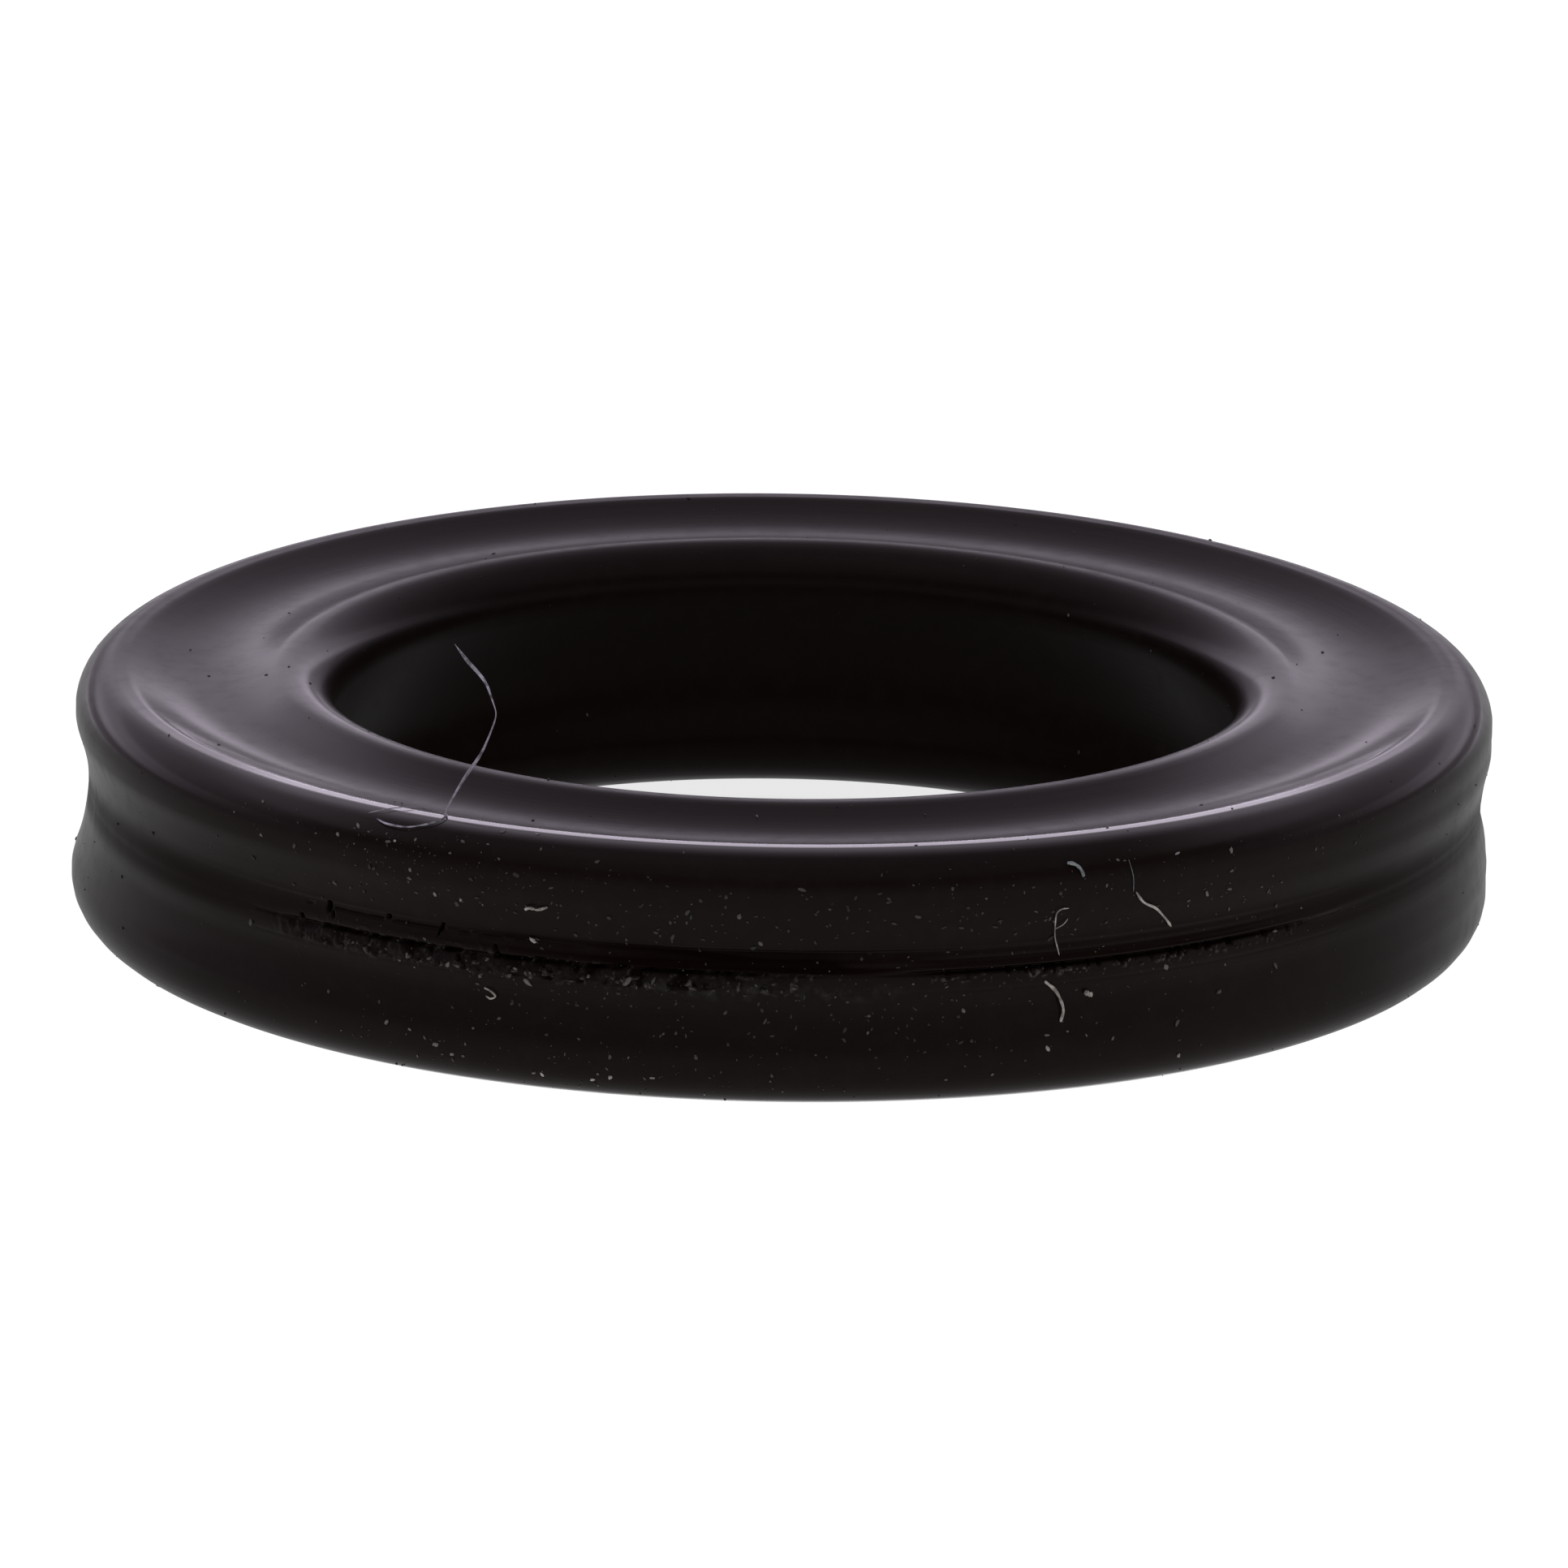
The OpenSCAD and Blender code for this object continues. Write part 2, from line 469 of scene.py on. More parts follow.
def moulded_rubber(name, torn_strip=False):
    """Near-black nitrile rubber, warm and half matt, with a fine grain, faint turning lines round the ring,
    a thin uneven bloom, a browner tone in the parting line, darker there as painted shade of its crease, and
    a film of dust under its middle, before and behind. Its clear coat is that of burnished, and its painted shade
    is a share of dark matt surface without shine in the creases and at the outer wall's sides. A torn strip
    also reads the mesh's torn, pale and sunk marks: rough greyish tears, pale crumbs and cuts made dark as
    painted shade."""
    f = Finish(bpy.data.materials.new(name))
    here = f.place()
    x, y, z = f.parts(here)
    radius = (x * x + y * y).math("SQRT")
    up = z - HALF_SECTION
    lines = f.noise(f.vector(radius * 22, z * 22, x * 0.7 + y * 0.5), 1.0, 3.0, 0.6)
    patches = f.noise(here, 0.9, 3.0)
    grain = f.noise(here, 38.0, 2.0, 0.6)
    bloom = f.noise(here, 4.5, 4.0, 0.65).between(0.42, 0.75)
    lined = patches.between(0.45, 0.62)
    on_wall = radius.between(*WALL_FROM)
    # browner and darker along the parting line: partly its own tone, partly painted shade in the crease
    seam_shade = up.near(SEAM_RISE + 0.05, 0.17, 0.02) * on_wall
    under_seam = up.near(-0.11, 0.13, 0.04) * x.near(-0.2, 1.7, 0.8) * on_wall
    film = f.noise(here, 6.0, 3.0, 0.6).between(0.46, 0.68) * under_seam
    crest, coat = burnished(x, y, z, radius)
    # painted shade: a share of dark matt surface without shine in the creases and at the outer wall's sides
    matt_shade = painted_matt_shade(x, y, up, radius, patches)
    base = f.mix(bloom * 0.5, RUBBER, BLOOM)
    base = f.mix(seam_shade * 0.75, base, SEAM_SHADE_BROWN)
    base = f.mix(film * 0.8, base, DUST_FILM)
    rough = 0.28 + bloom * 0.05 + patches * 0.04 - crest * 0.16
    height = grain * 0.35 + lines * (0.6 + lined * 1.2)
    if torn_strip:
        torn, pale, sunk = f.mark("torn"), f.mark("pale"), f.mark("sunk")
        # the sunk cuts are darkened as painted shade, with the same dark matt surface
        matt_shade = matt_shade.math("MAXIMUM", sunk * 0.9)
        crumbs = pale * f.noise(here, 30.0).between(0.35, 0.6)
        base = f.mix(torn * 0.30, base, TORN_GREY)
        base = f.mix(crumbs * 0.8, base, CRUMB_PALE)
        rough = rough + torn * 0.25 + crumbs * 0.2
        height = height + torn * f.noise(here, 60.0) * 1.5
    return f.surface(Base_Color=base, Roughness=rough, Normal=f.bump(height, 0.25, 0.0000035),
                     Specular_IOR_Level=RUBBER_SPECULAR, Coat_Weight=coat, Coat_Roughness=COAT_ROUGHNESS,
                     Coat_IOR=COAT_IOR, matt_shade=matt_shade)


def lint_fibre(name, dark, light):
    """Textile lint: a pale strand with slow streaks between two tones and a slightly rough skin."""
    f = Finish(bpy.data.materials.new(name))
    here = f.place()
    streak = f.noise(here, 9.0, 3.0, 0.6)
    return f.surface(Base_Color=f.mix(streak.between(0.3, 0.7), dark, light), Roughness=0.55 + streak * 0.2,
                     Normal=f.bump(f.noise(here, 70.0), 0.5, 0.000004), Specular_IOR_Level=0.3)


def dust_grain():
    """House dust. Each grain's own tone comes from the mesh's tone mark, from near black through grey to
    nearly white, mottled with a dark grey."""
    f = Finish(bpy.data.materials.new("dust_grain"))
    tone = f.mark("tone")
    colour = f.add("ShaderNodeValToRGB", {"ramp": DUST_TONES}, {0: tone})
    mottled = f.mix(f.noise(f.place(), 60.0).between(0.35, 0.7) * 0.5, colour, DUST_DARK)
    return f.surface(Base_Color=mottled, Roughness=0.8 + tone * 0.1, Specular_IOR_Level=0.2)


# ---------------------------------------------------------------- the ring
FRONT_REACH = 80          # degrees to each side of the front where the ring's columns are close together
FRONT_COLUMNS, BACK_COLUMNS = 540, 240


def ring_angles():
    """Angles of the ring's columns, degrees: close together round the front, wider behind."""
    return np.concatenate([np.linspace(-FRONT_REACH, FRONT_REACH, FRONT_COLUMNS, endpoint=False),
                           np.linspace(FRONT_REACH, 360 - FRONT_REACH, BACK_COLUMNS, endpoint=False)])


# turns round the outer top lobe's centre at which the ring has rows, degrees above level
LOBE_ROWS = (-13, -7.6, 0, 7.6, 14, 21, 28, 35, 42, 49, 56, 62, 67,
             71, 75, 79, 82.4, 85, 87.5, 90, 92.5, 95, 97.6, 101, 105)
LOBE_STEPS = (0, 15, 8, 10)     # rows of each lobe in turn; the first has LOBE_ROWS instead
HOLLOW_STEPS = 8


def ring_runs():
    """Runs of the ring's rows: close together at the strips' borders and over the outer top lobe, wide in
    the hollows."""
    hollow_end = HOLLOW_RADIUS * FOOT_TURN
    lobe_end = hollow_end + LOBE_RADIUS * (math.pi / 2 + 2 * FOOT_TURN)
    quarter = RUN_ROUND / 4
    parts = [np.linspace(-hollow_end, -0.32, 6, endpoint=False), np.linspace(-0.32, -0.17, 9, endpoint=False),
             np.linspace(-0.17, 0.30, 14, endpoint=False), np.linspace(0.30, 0.44, 8, endpoint=False),
             np.linspace(0.44, hollow_end, 6), hollow_end + LOBE_RADIUS * (np.radians(LOBE_ROWS) + FOOT_TURN)]
    for k, steps in enumerate(LOBE_STEPS):
        if k > 0:
            parts.append(np.linspace(hollow_end, lobe_end, steps, endpoint=False) + k * quarter)
        if k < 3:
            parts.append(np.linspace(lobe_end, quarter + hollow_end, HOLLOW_STEPS, endpoint=False) + k * quarter)
    return np.concatenate(parts)


def make_ring(finish):
    """The ring's body: its surface over every angle and run, let in under the fine strips."""
    angles, runs = ring_angles()[:, None], ring_runs()[None, :]
    facing_out = (np.abs(runs) < 1).astype(float)
    let_in = under_strips(centred(angles), on_outline(runs)[1]) * facing_out
    points = ring_surface(angles, runs, 0.0, let_in)
    ring = put_in_mesh("ring_body", points.reshape(-1, 3), closed_both_ways(angles.size, runs.size), finish)
    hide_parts("quad_ring")


# depths and heights of the forms on the fine strips, mm
STROKES, GRAIN, DASHES, HIGH_DASHES, TEETH = 0.105, 0.028, 0.060, 0.022, 0.050
CRUMBS, CHIPS, RIM_OUT, RIM_IN = 0.060, 0.030, 0.012, 0.010
HIGH_DASHES_AT = 0.265    # above the middle of the section
NICKS = (   # angle, height, half width, half height, depth, lean to the right with height
    (-39.4, 0.27, 0.034, 0.065, 0.085, 0.0), (-38.9, 0.20, 0.020, 0.04, 0.05, -0.3),
    (-28.4, 0.27, 0.018, 0.085, 0.085, 0.40), (-33.4, 0.29, 0.030, 0.025, 0.06, 0.0),
    (-23.4, 0.13, 0.032, 0.060, 0.075, -0.2), (-42.2, 0.11, 0.030, 0.030, 0.06, 0.0),
    (-19.6, 0.10, 0.060, 0.016, 0.05, 0.0), (-12.8, 0.10, 0.070, 0.018, 0.05, 0.0),
    (-26.5, -0.01, 0.020, 0.045, 0.06, -0.2))


def strip_shape(angle, up):
    """Height over the ring's surface and the torn, pale and sunk shares on the fine strips; the sunk share is
    painted shade, which the finish lays on as a dark matt surface in the cuts.
    Left of the middle a band under the seam is torn: upright strokes and a fine grain are cut into it,
    broken dark dashes run along the seam, pale crumbs stand up at its lower edge, and single nicks are
    cut as sunk ellipses. Right of the middle short teeth hang from the sharp groove, chips stand under
    it, and its upper rim is raised in front of a shallow dip. Noise is over mm along the ring and up,
    with its seed last."""
    along, off = np.radians(angle) * WALL_RADIUS, up - seam_at(angle)
    left = within(angle, -46, -40, -6, 5)
    right = within(angle, 9, 17, 40, 49)
    band = left * within(off, -0.20, -0.14, -0.01, 0.03) * (0.45 + 0.55 * smooth_noise(along * 1.4, 0 * off, 5))
    sway = 1.2 * smooth_noise(along * 4, off * 9, 3)
    strokes = smooth_noise(along * 15 + sway, off * 6, 1)
    grain = smooth_noise(along * 40, off * 34, 2)
    height = band * (STROKES * (strokes - 0.60) + GRAIN * (grain - 0.5))
    sunk = band * ease(strokes, 0.50, 0.26) * (0.6 + 0.6 * grain)

    dash = left * ease(smooth_noise(along * 5, 0 * off, 4), 0.34, 0.60)
    height = height - DASHES * dash * hill(off, 0.004, 0.017)
    sunk = sunk + 0.9 * dash * hill(off, 0.000, 0.019)
    high_dash = ease(smooth_noise(along * 8, 0 * off, 6), 0.45, 0.7) * within(angle, -43, -40, -22, -14)
    height = height - HIGH_DASHES * high_dash * hill(up, HIGH_DASHES_AT, 0.013)
    sunk = sunk + 0.7 * high_dash * hill(up, HIGH_DASHES_AT, 0.015)

    crumb = ease(smooth_noise(along * 21, off * 24, 7), 0.66, 0.85) * within(angle, -44, -36, 3, 9)
    crumb = crumb * np.maximum(hill(off, -0.13, 0.055), 0.25 * hill(off, -0.02, 0.09))
    height = height + CRUMBS * crumb

    tooth_foot = -0.04 - 0.07 * smooth_noise(along * 23, 0 * off, 9)
    teeth = right * ease(smooth_noise(along * 19, 0 * off, 8), 0.55, 0.80) * ease(off, 0.01, -0.01)
    teeth = teeth * ease(off, tooth_foot, -0.02)
    chips = right * ease(smooth_noise(along * 30, off * 30, 10), 0.70, 0.85) * hill(off, -0.075, 0.035)
    rim = right * (RIM_OUT * hill(off, 0.045, 0.020) - RIM_IN * hill(off, 0.125, 0.020))
    height = height - TEETH * teeth + CHIPS * chips + rim
    sunk = sunk + 0.7 * teeth

    for nick_angle, nick_up, half_width, half_height, depth, lean in NICKS:
        across = np.radians(angle - nick_angle) * WALL_RADIUS - lean * (up - nick_up)
        inside = (across / half_width) ** 2 + ((up - nick_up) / half_height) ** 2
        height = height - depth * ease(inside, 1.4, 0.3)
        sunk = sunk + ease(inside, 1.3, 0.5)
    return (height, np.clip(band * 0.8 + crumb, 0, 1), np.clip(crumb * 1.3 + chips, 0, 1),
            np.clip(sunk - crumb, 0, 1))


def make_strip(name, start, end, finish):
    """A fine strip of the ring's surface over the parting line: a thin closed pad whose face is the ring's
    own surface plus strip_shape. Towards its four borders it passes gently under the ring, then bends
    down out of sight."""
    angle = np.linspace(start, end, STRIP_COLUMNS)[:, None]
    up = np.linspace(STRIP_LOW, STRIP_HIGH, STRIP_ROWS)[None, :]
    inside = (within(up, STRIP_LOW, STRIP_LOW + 0.012, STRIP_HIGH - 0.012, STRIP_HIGH)
              * within(angle, start, start + 0.2, end - 0.2, end))
    over = STRIP_OVER * (within(up, STRIP_LOW, STRIP_LOW + 0.06, STRIP_HIGH - 0.06, STRIP_HIGH)
                         * within(angle, start, start + 1.2, end - 1.2, end)) - STRIP_UNDER
    detail = (within(up, STRIP_LOW + 0.06, STRIP_LOW + 0.09, STRIP_HIGH - 0.07, STRIP_HIGH - 0.04)
              * within(angle, start + 1.6, start + 2.6, end - 2.6, end - 1.6))
    height, *shares = strip_shape(angle, up)
    face = ring_surface(angle, up, height * detail + over - STRIP_TUCK * (1 - inside))
    back = ring_surface(angle, up, -STRIP_BACK)[:, ::-1]
    loop = np.concatenate([face, back], 1)
    strip = put_in_mesh(name, loop.reshape(-1, 3), capped_tube(*loop.shape[:2]), finish)
    for label, share in zip(("torn", "pale", "sunk"), shares):
        mark_points(strip, label, np.concatenate([share * detail, np.zeros_like(share)], 1))


# ---------------------------------------------------------------- lint and dust
SHORT_LINTS = (   # name, tone, half width, knots as (angle, run, lift)
    ("lint_comma", "blue", 0.017, ((23.3, 1.15, .02), (23.8, 1.13, .035), (24.3, 1.08, .03), (24.6, 1.0, .01))),
    ("lint_yellow", "warm", 0.012, ((29.2, .79, .01), (29.9, .68, .04), (31.0, .60, .05), (31.9, .49, .035),
                                    (32.5, .41, .02), (33.0, .33, .01))),
    ("lint_thread", "blue", 0.003, ((28.75, 1.12, .01), (28.9, .95, .02), (29.0, .79, .01))),
    ("lint_thin", "warm", 0.006, ((23.4, .69, .01), (22.7, .70, .03), (22.3, .65, .03), (22.3, .51, .03),
                                  (22.4, .38, .03), (22.65, .27, .02), (22.8, .18, .005))),
    ("lint_branch", "warm", 0.0045, ((22.35, .47, .025), (23.0, .52, .03), (23.4, .57, .01))),
    ("lint_thick", "warm", 0.016, ((21.75, -.07, .01), (22.6, -.17, .04), (23.15, -.29, .05), (23.4, -.40, .04),
                                   (23.2, -.52, .01))),
    ("lint_crumb", "warm", 0.026, ((25.3, -.23, .02), (25.7, -.26, .03), (26.0, -.27, .02))),
    ("lint_knot", "warm", 0.013, ((-20.8, .61, .01), (-20.3, .65, .03), (-19.6, .64, .03), (-18.8, .67, .01))),
    ("lint_curl", "warm", 0.009, ((-24.2, -.28, .01), (-23.6, -.30, .03), (-23.1, -.35, .03), (-23.5, -.38, .03),
                                  (-24.0, -.36, .01))),
    ("lint_loop", "pale", 0.009, ((-30.2, 1.70, .012), (-29.5, 1.56, .02), (-29.7, 1.43, .02), (-30.8, 1.34, .02),
                                  (-32.1, 1.28, .03), (-33.9, 1.28, .03), (-35.2, 1.33, .008))),
    ("lint_faint", "pale", 0.004, ((-36.3, 1.38, .01), (-34.9, 1.49, .02), (-33.6, 1.68, .02), (-32.6, 1.85, .02),
                                   (-31.0, 1.74, .015), (-30.2, 1.66, .012))),
)

# the long fibre's knots, mm: its foot lies in the shoulder, its free end stands over the hole
LONG_FIBRE = ((-3.37, -5.82, 2.598), (-3.341, -5.748, 2.679), (-3.27, -5.688, 2.806), (-3.176, -5.617, 2.956),
              (-3.066, -5.547, 3.106), (-2.995, -5.493, 3.219), (-2.918, -5.412, 3.391), (-2.872, -5.341, 3.54),
              (-2.907, -5.281, 3.666), (-2.991, -5.193, 3.85), (-3.173, -5.101, 4.041), (-3.297, -5.03, 4.187))


FIBRE_STEPS, LINT_STEPS = 260, 90


def make_lints():
    """Lint: the long fibre standing out of the shoulder, then the short ones, each a strand along a smooth
    path through its knots. The long fibre's width swells with a squared sine, is thin two thirds of the
    way along and tapers at its free end. A short lint's width follows smooth noise along it."""
    finishes = {tone: lint_fibre("lint_" + tone, *colours) for tone, colours in LINT_TONES.items()}
    path = through(LONG_FIBRE, FIBRE_STEPS)
    share = np.linspace(0, 1, len(path))
    wide = 0.009 + 0.009 * (0.5 + 0.5 * np.sin(share * 11 + 4.2)) ** 2
    wide = wide * (1 - 0.45 * hill(share, 0.66, 0.08)) * ease(share, 1.04, 0.90)
    points, quads = strand(path, wide, wide * 0.45, facing=np.array([0.1, -1.0, 0.25]))
    put_in_mesh("lint_long", points, quads, finishes["pale"])
    for name, tone, half_width, knots in SHORT_LINTS:
        angle, run, lift = np.array(knots).T
        path = through(ring_surface(angle, run, lift + half_width * 0.3), LINT_STEPS)
        share = np.linspace(0, 1, len(path))
        wide = half_width * (0.75 + 0.5 * smooth_noise(share * 9, share * 0, 11 + len(name)))
        points, quads = strand(path, wide, wide * 0.5, facing=np.array([0.2, -1.0, 0.3]))
        put_in_mesh(name, points, quads, finishes[tone])


KNOWN_SPECKS = (   # angle, run, size, tone
    (-20.4, -0.16, 0.07, 0.49), (-20.3, 0.27, 0.058, 0.86), (-18.9, -1.11, 0.047, 1),
    (-28, -0.92, 0.072, 0.54), (22, -0.78, 0.054, 0.79), (-12, -0.05, 0.086, 0.3),
    (32.7, -0.08, 0.077, 0.41), (-13.2, -1.06, 0.056, 0.82), (33.9, -1.03, 0.054, 0.65),
    (36.1, 0.64, 0.065, 0.47), (-27.3, -0.08, 0.066, 0.49), (-14.7, -1.11, 0.042, 0.9),
    (-28.7, 0.64, 0.057, 0.65), (-32.6, -0.78, 0.063, 0.45), (-47.8, -0.11, 0.08, 0.17),
    (-36.5, 1.21, 0.049, 0.6), (38.5, 1.05, 0.051, 0.54), (-1.6, 0.4, 0.064, 0.3),
    (-2.7, 3, 0.046, 0.54), (33.3, 1.11, 0.043, 0.76), (33.7, -0.68, 0.067, 0.22),
    (15.1, -0.33, 0.056, 0.43), (-38.1, 1.08, 0.049, 0.48), (-20.7, 1.48, 0.033, 0.72),
    (-26.4, 0.62, 0.046, 0.65), (-9.8, -1.03, 0.042, 0.6), (-30.4, -0.81, 0.046, 0.49),
    (-3.3, 0.71, 0.063, 0.23), (-31.1, -0.06, 0.054, 0.28), (38, -0.44, 0.064, 0.18),
    (-30.8, 0.87, 0.044, 0.53), (-24.5, -0.16, 0.054, 0.3), (-26.6, -1, 0.038, 0.64),
    (22, -0.64, 0.048, 0.34), (-21.9, -0.11, 0.055, 0.22), (-32.6, 1.13, 0.036, 0.81),
    (-21.4, -0.03, 0.043, 0.45), (-30.9, 0.78, 0.05, 0.27), (-20.9, -1.32, 0.021, 1),
    (-9.9, -0.03, 0.053, 0.23), (27.8, 1.13, 0.046, 0.28), (-7.4, 0.73, 0.064, 0.1),
    (-14.2, -1.03, 0.042, 0.29), (-15.2, -0.03, 0.05, 0.3), (44.1, -0.3, 0.053, 0.15),
    (1.6, 1, 0.059, 0.13), (-19.6, -1.1, 0.034, 0.47), (-29, -0.87, 0.042, 0.31),
    (17.4, -1, 0.042, 0.34), (-38.6, 0.54, 0.046, 0.22), (42.7, 0.52, 0.046, 0.17),
    (38.4, 0.64, 0.043, 0.27), (-38.7, -0.6, 0.05, 0.17), (-20.1, -0.06, 0.041, 0.34),
    (7.4, -0.35, 0.048, 0.21), (10.9, 0.7, 0.054, 0.13), (-29.8, 0.14, 0.047, 0.21),
    (-26.6, 1.24, 0.043, 0.24), (7.3, -0.52, 0.046, 0.31), (38.7, 0.41, 0.042, 0.24),
    (-33.2, 1.11, 0.045, 0.23), (-22.7, -0.57, 0.045, 0.22), (-5.7, -1.24, 0.026, 0.54),
    (26.6, 0.89, 0.042, 0.23), (-24.8, -0.25, 0.049, 0.16), (-30.8, 1.18, 0.04, 0.43),
    (-13.2, -0.84, 0.046, 0.22), (-42.4, 0.86, 0.047, 0.15), (-0.3, -0.95, 0.048, 0.14),
    (38.4, 0.84, 0.039, 0.24), (-6.3, -0.79, 0.048, 0.14), (27.7, -0.75, 0.038, 0.32),
    (23.8, -0.62, 0.034, 0.34), (44, 0.59, 0.038, 0.19), (-29, -0.05, 0.046, 0.17),
    (-14.9, 1.19, 0.043, 0.17), (34.4, 0.59, 0.04, 0.23), (13.6, 0.98, 0.048, 0.13),
    (-19.8, 1.27, 0.04, 0.22), (-24.5, 0.6, 0.035, 0.3), (-25.6, -1, 0.037, 0.27),
    (13.6, -1.03, 0.038, 0.22), (20.6, 0.68, 0.037, 0.26), (41.8, 0.59, 0.038, 0.16),
    (-8.8, 0.6, 0.046, 0.12), (-11.7, -0.83, 0.035, 0.31), (-24.4, 1.25, 0.034, 0.31),
    (25.4, -0.68, 0.034, 0.27), (-24.8, -0.7, 0.033, 0.31), (-23.9, 0.02, 0.038, 0.22),
    (-16, -1.25, 0.022, 0.52), (-9, -0.57, 0.04, 0.21), (15.3, 2.99, 0.034, 0.17),
    (-27.4, 1.1, 0.034, 0.32), (-23.1, 1.11, 0.034, 0.29), (-4.1, -0.33, 0.042, 0.13))
KNOWN_SCALE = (1, 1, 0.82, 0.85)    # what a known speck's size and tone are multiplied by
SPECK_GROUPS = (   # count, angle and its spread, run and its spread, least size
    (180, -30, 9, 0.95, 0.22, 0.008), (120, -20, 12, -0.95, 0.18, 0.008), (90, -22, 11, -0.05, 0.14, 0.008),
    (80, 28, 12, 0.05, 0.16, 0.008), (110, 30, 14, 0.85, 0.3, 0.010), (150, 5, 22, -0.5, 0.4, 0.014),
    (150, 0, 26, 0.6, 0.3, 0.014), (80, -8, 16, 0.62, 0.2, 0.030), (60, 0, 14, -0.35, 0.25, 0.026))
FINE_SPECK = 0.008        # a group of larger specks than this is as much darker as it is larger
SCATTERED = 420           # specks all round the ring
SHOULDER_TONE = 0.36      # least tone of those on the bright shoulders
DUST_SEED = 17


def speck_places(draw):
    """Angle, run, size and tone of every dust speck: the known ones, then seeded groups that crowd on the
    left shoulder, along the torn seam and at the foot, and a thin scatter over the whole ring. A group's
    angles and runs are normal draws, sizes rise with a cubed draw and tones with a squared one."""
    groups = [np.array(KNOWN_SPECKS) * KNOWN_SCALE]
    for count, angle, spread, run, run_spread, least in SPECK_GROUPS:
        size = least + 0.018 * draw.random(count) ** 3
        angles, runs = draw.normal(angle, spread, count), draw.normal(run, run_spread, count)
        tone = (0.03 + 0.3 * draw.random(count) ** 2) * min(1.0, FINE_SPECK / least)
        groups.append(np.stack([angles, runs, size, tone], -1))
    size = 0.010 + 0.028 * draw.random(SCATTERED) ** 3
    angles, runs = draw.uniform(-180, 180, SCATTERED), draw.uniform(-4.6, 4.6, SCATTERED)
    tone = 0.04 + 0.4 * draw.random(SCATTERED) ** 2
    on_shoulder = (np.abs(np.abs(angles) - 77) < 32) & (np.abs(runs - 2.1) < 1.4)
    tone = np.where(on_shoulder, np.maximum(tone, SHOULDER_TONE), tone)
    groups.append(np.stack([angles, runs, size, tone], -1))
    return np.concatenate(groups).T


def make_dust(finish):
    """Dust specks as one mesh: each is a lumpy closed pebble, five rings of six points round its long axis
    with a flat cap at both ends, turned and sized by seeded numbers and sunk a little into the rubber."""
    draw = np.random.default_rng(DUST_SEED)
    angle, run, size, tone = speck_places(draw)
    count = len(angle)
    rows, sides, cap_turn = 5, 6, 0.16
    latitude = np.linspace(cap_turn, math.pi - cap_turn, rows)[:, None]
    turn = np.arange(sides)[None, :] * 2 * math.pi / sides
    pebble = np.stack([-np.cos(latitude) + 0 * turn, np.sin(latitude) * np.cos(turn),
                       np.sin(latitude) * np.sin(turn)], -1).reshape(-1, 3)
    lumps = 0.75 + 0.5 * draw.random((count, len(pebble), 1))
    stretch = np.stack([1.0 + 0.9 * draw.random(count) ** 2, 0.65 + 0.35 * draw.random(count),
                        0.5 + 0.3 * draw.random(count)], -1)
    local = pebble[None] * lumps * stretch[:, None] * size[:, None, None] * 0.5
    normal = ring_normal(angle, run)
    along = np.stack([np.cos(np.radians(angle)), np.sin(np.radians(angle)), 0 * angle], -1)
    across = np.cross(normal, along)
    spin = draw.uniform(0, math.pi, count)[:, None]
    long_axis = along * np.cos(spin) + across * np.sin(spin)
    short_axis = np.cross(normal, long_axis)
    middle = ring_surface(angle, run, 0.12 * size)
    points = (middle[:, None] + local[..., :1] * long_axis[:, None] + local[..., 1:2] * short_axis[:, None]
              + local[..., 2:] * normal[:, None])
    quads = capped_tube(rows, sides)[None] + (np.arange(count) * len(pebble))[:, None, None]
    dust = put_in_mesh("dust_specks", points.reshape(-1, 3), quads.reshape(-1, 4), finish)
    mark_points(dust, "tone", np.repeat(tone, len(pebble)))


# ---------------------------------------------------------------- camera, floor and light
FRAME_PIXELS = 1932
SENSOR_WIDTH = 36.0
CAMERA_DISTANCE = 250.0
CAMERA_RISE = math.radians(15.0)
CAMERA_ROLL = math.radians(0.88)
PIXELS_PER_MM = 120.8
RING_AT = (964.6, 982.0)      # the middle of the ring in the frame, pixels from the left and from the top


def make_camera():
    """Looks down on the middle of the ring from the front, with a long lens and a slight roll. The lens
    length gives PIXELS_PER_MM at the ring, and the shift puts the ring's middle at RING_AT."""
    data = bpy.data.cameras.new("camera")
    data.sensor_width = SENSOR_WIDTH
    data.lens = SENSOR_WIDTH * CAMERA_DISTANCE * PIXELS_PER_MM / FRAME_PIXELS
    data.shift_x = (FRAME_PIXELS / 2 - RING_AT[0]) / FRAME_PIXELS
    data.shift_y = (RING_AT[1] - FRAME_PIXELS / 2) / FRAME_PIXELS
    data.clip_start, data.clip_end = 0.01, 20
    data.dof.use_dof = False
    camera = bpy.data.objects.new("camera", data)
    bpy.context.scene.collection.objects.link(camera)
    back = Vector((0, -math.cos(CAMERA_RISE), math.sin(CAMERA_RISE)))
    look = (-back).to_track_quat("-Z", "Y").to_matrix().to_4x4()
    camera.matrix_world = (Matrix.Translation((Vector((0, 0, HALF_SECTION)) + back * CAMERA_DISTANCE) * MM)
                           @ look @ Matrix.Rotation(CAMERA_ROLL, 4, "Z"))
    bpy.context.scene.camera = camera


FLOOR_HALF = 3000.0           # mm
RING_SHADE, HOLE_SHADE = 0.20, 0.45


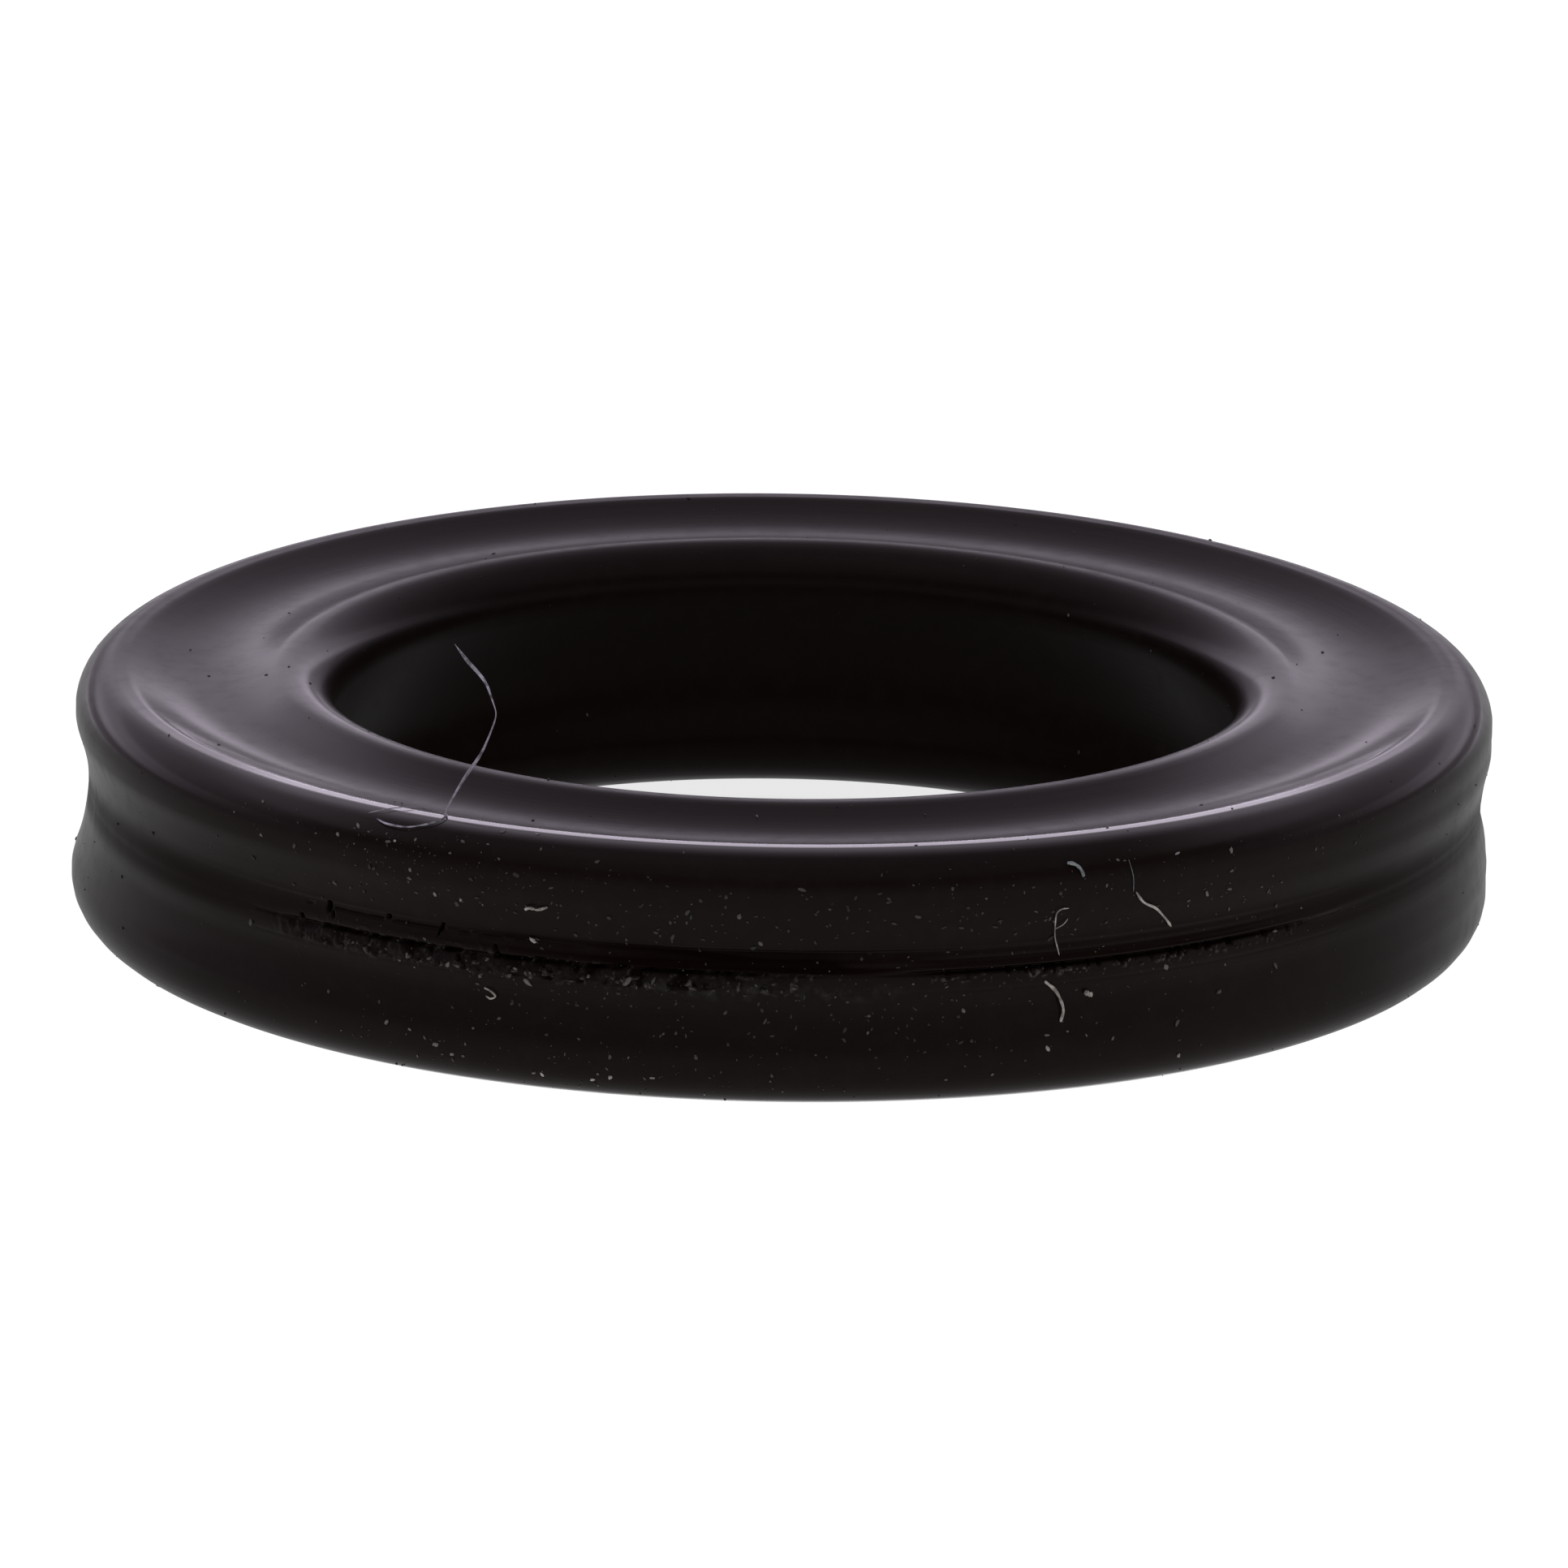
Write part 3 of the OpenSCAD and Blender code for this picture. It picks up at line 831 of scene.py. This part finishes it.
def make_floor():
    """A wide plain pale floor that glows softly itself, so bright that it shows no shadow round the ring.
    Only under the ring and in its hole is the glow dimmed, by shares that grow inwards between two radii
    each, as the ring's own soft shadow would."""
    mesh = bpy.data.meshes.new("floor")
    corners = [(x * FLOOR_HALF * MM, y * FLOOR_HALF * MM, 0) for x, y in ((-1, -1), (1, -1), (1, 1), (-1, 1))]
    mesh.from_pydata(corners, [], [(0, 1, 2, 3)])
    f = Finish(bpy.data.materials.new("white_floor"))
    x, y, _ = f.parts(f.place())
    radius = (x * x + y * y).math("SQRT")
    shade = radius.between(6.6, 5.6) * RING_SHADE + radius.between(5.1, 3.4) * HOLE_SHADE
    glow = f.mix(shade, (1.0, 1.0, 1.0), (0.0, 0.0, 0.0))
    mesh.materials.append(f.surface(Base_Color=(0.10, 0.10, 0.10, 1), Roughness=0.9, Specular_IOR_Level=0.0,
                                    Emission_Color=glow, Emission_Strength=1.0))
    floor = bpy.data.objects.new("floor", mesh)
    bpy.context.scene.collection.objects.link(floor)


# the studio's levels by the sine of the height
SKY_BEHIND = ((0.0, 4.2), (0.02, 4.2), (0.035, 0.1), (0.135, 0.1), (0.16, 2.2), (0.225, 2.2), (0.245, 1.3),
              (0.34, 1.3), (0.37, 0.55), (0.58, 0.55), (0.64, 0.75))
SKY_BEFORE = ((0.0, 0.8), (0.11, 0.8), (0.13, 0.7), (0.34, 0.7), (0.37, 0.1), (0.58, 0.1), (0.64, 0.75))
SKY_STRENGTH = 4.0
GREEN_BEHIND, GREEN_BEFORE = 0.91, 0.96      # a little green is taken out of each side, and given to the blue
LAMP_AT = (-0.03, -0.02, 0.13)               # metres, aimed at the ring
LAMP_SIZE, LAMP_POWER = 0.07, 0.004


def sky_stops(levels, green):
    """Ramp stops of a sky: each level as a part of SKY_STRENGTH, tinted by its share of green."""
    return [(height, (level / SKY_STRENGTH * 1.01, level / SKY_STRENGTH * green,
                      level / SKY_STRENGTH * (2 - green) * 0.985)) for height, level in levels]


def make_light():
    """The studio round the ring. Behind it a bright strip low down and a broad soft panel above that; before
    it a low pale strip under a dim wall; a soft grey ceiling over both; and one small soft lamp."""
    world = bpy.data.worlds.new("studio")
    bpy.context.scene.world = world
    f = Finish(world)
    _, ahead, height = f.parts(f.add("ShaderNodeTexCoord", out="Generated"))
    before = f.add("ShaderNodeValToRGB", {"ramp": sky_stops(SKY_BEFORE, GREEN_BEFORE)}, {0: height})
    behind = f.add("ShaderNodeValToRGB", {"ramp": sky_stops(SKY_BEHIND, GREEN_BEHIND)}, {0: height})
    sky = f.mix(ahead.between(-0.15, 0.15), before, behind)
    background = f.add("ShaderNodeBackground", inputs={"Color": sky, "Strength": SKY_STRENGTH})
    f.add("ShaderNodeOutputWorld", inputs={"Surface": background})
    data = bpy.data.lights.new("soft_lamp", "AREA")
    data.shape, data.size, data.energy = "DISK", LAMP_SIZE, LAMP_POWER
    lamp = bpy.data.objects.new("soft_lamp", data)
    bpy.context.scene.collection.objects.link(lamp)
    spot = Vector(LAMP_AT)
    lamp.matrix_world = Matrix.Translation(spot) @ (-spot).to_track_quat("-Z", "Y").to_matrix().to_4x4()


make_camera()
make_floor()
make_light()
bpy.context.scene.view_settings.view_transform = "Standard"

make_ring(moulded_rubber("moulded_rubber"))
torn_rubber = moulded_rubber("torn_rubber", True)
make_strip("torn_flash_left", *STRIPS[0], torn_rubber)
make_strip("torn_flash_right", *STRIPS[1], torn_rubber)
make_lints()
make_dust(dust_grain())
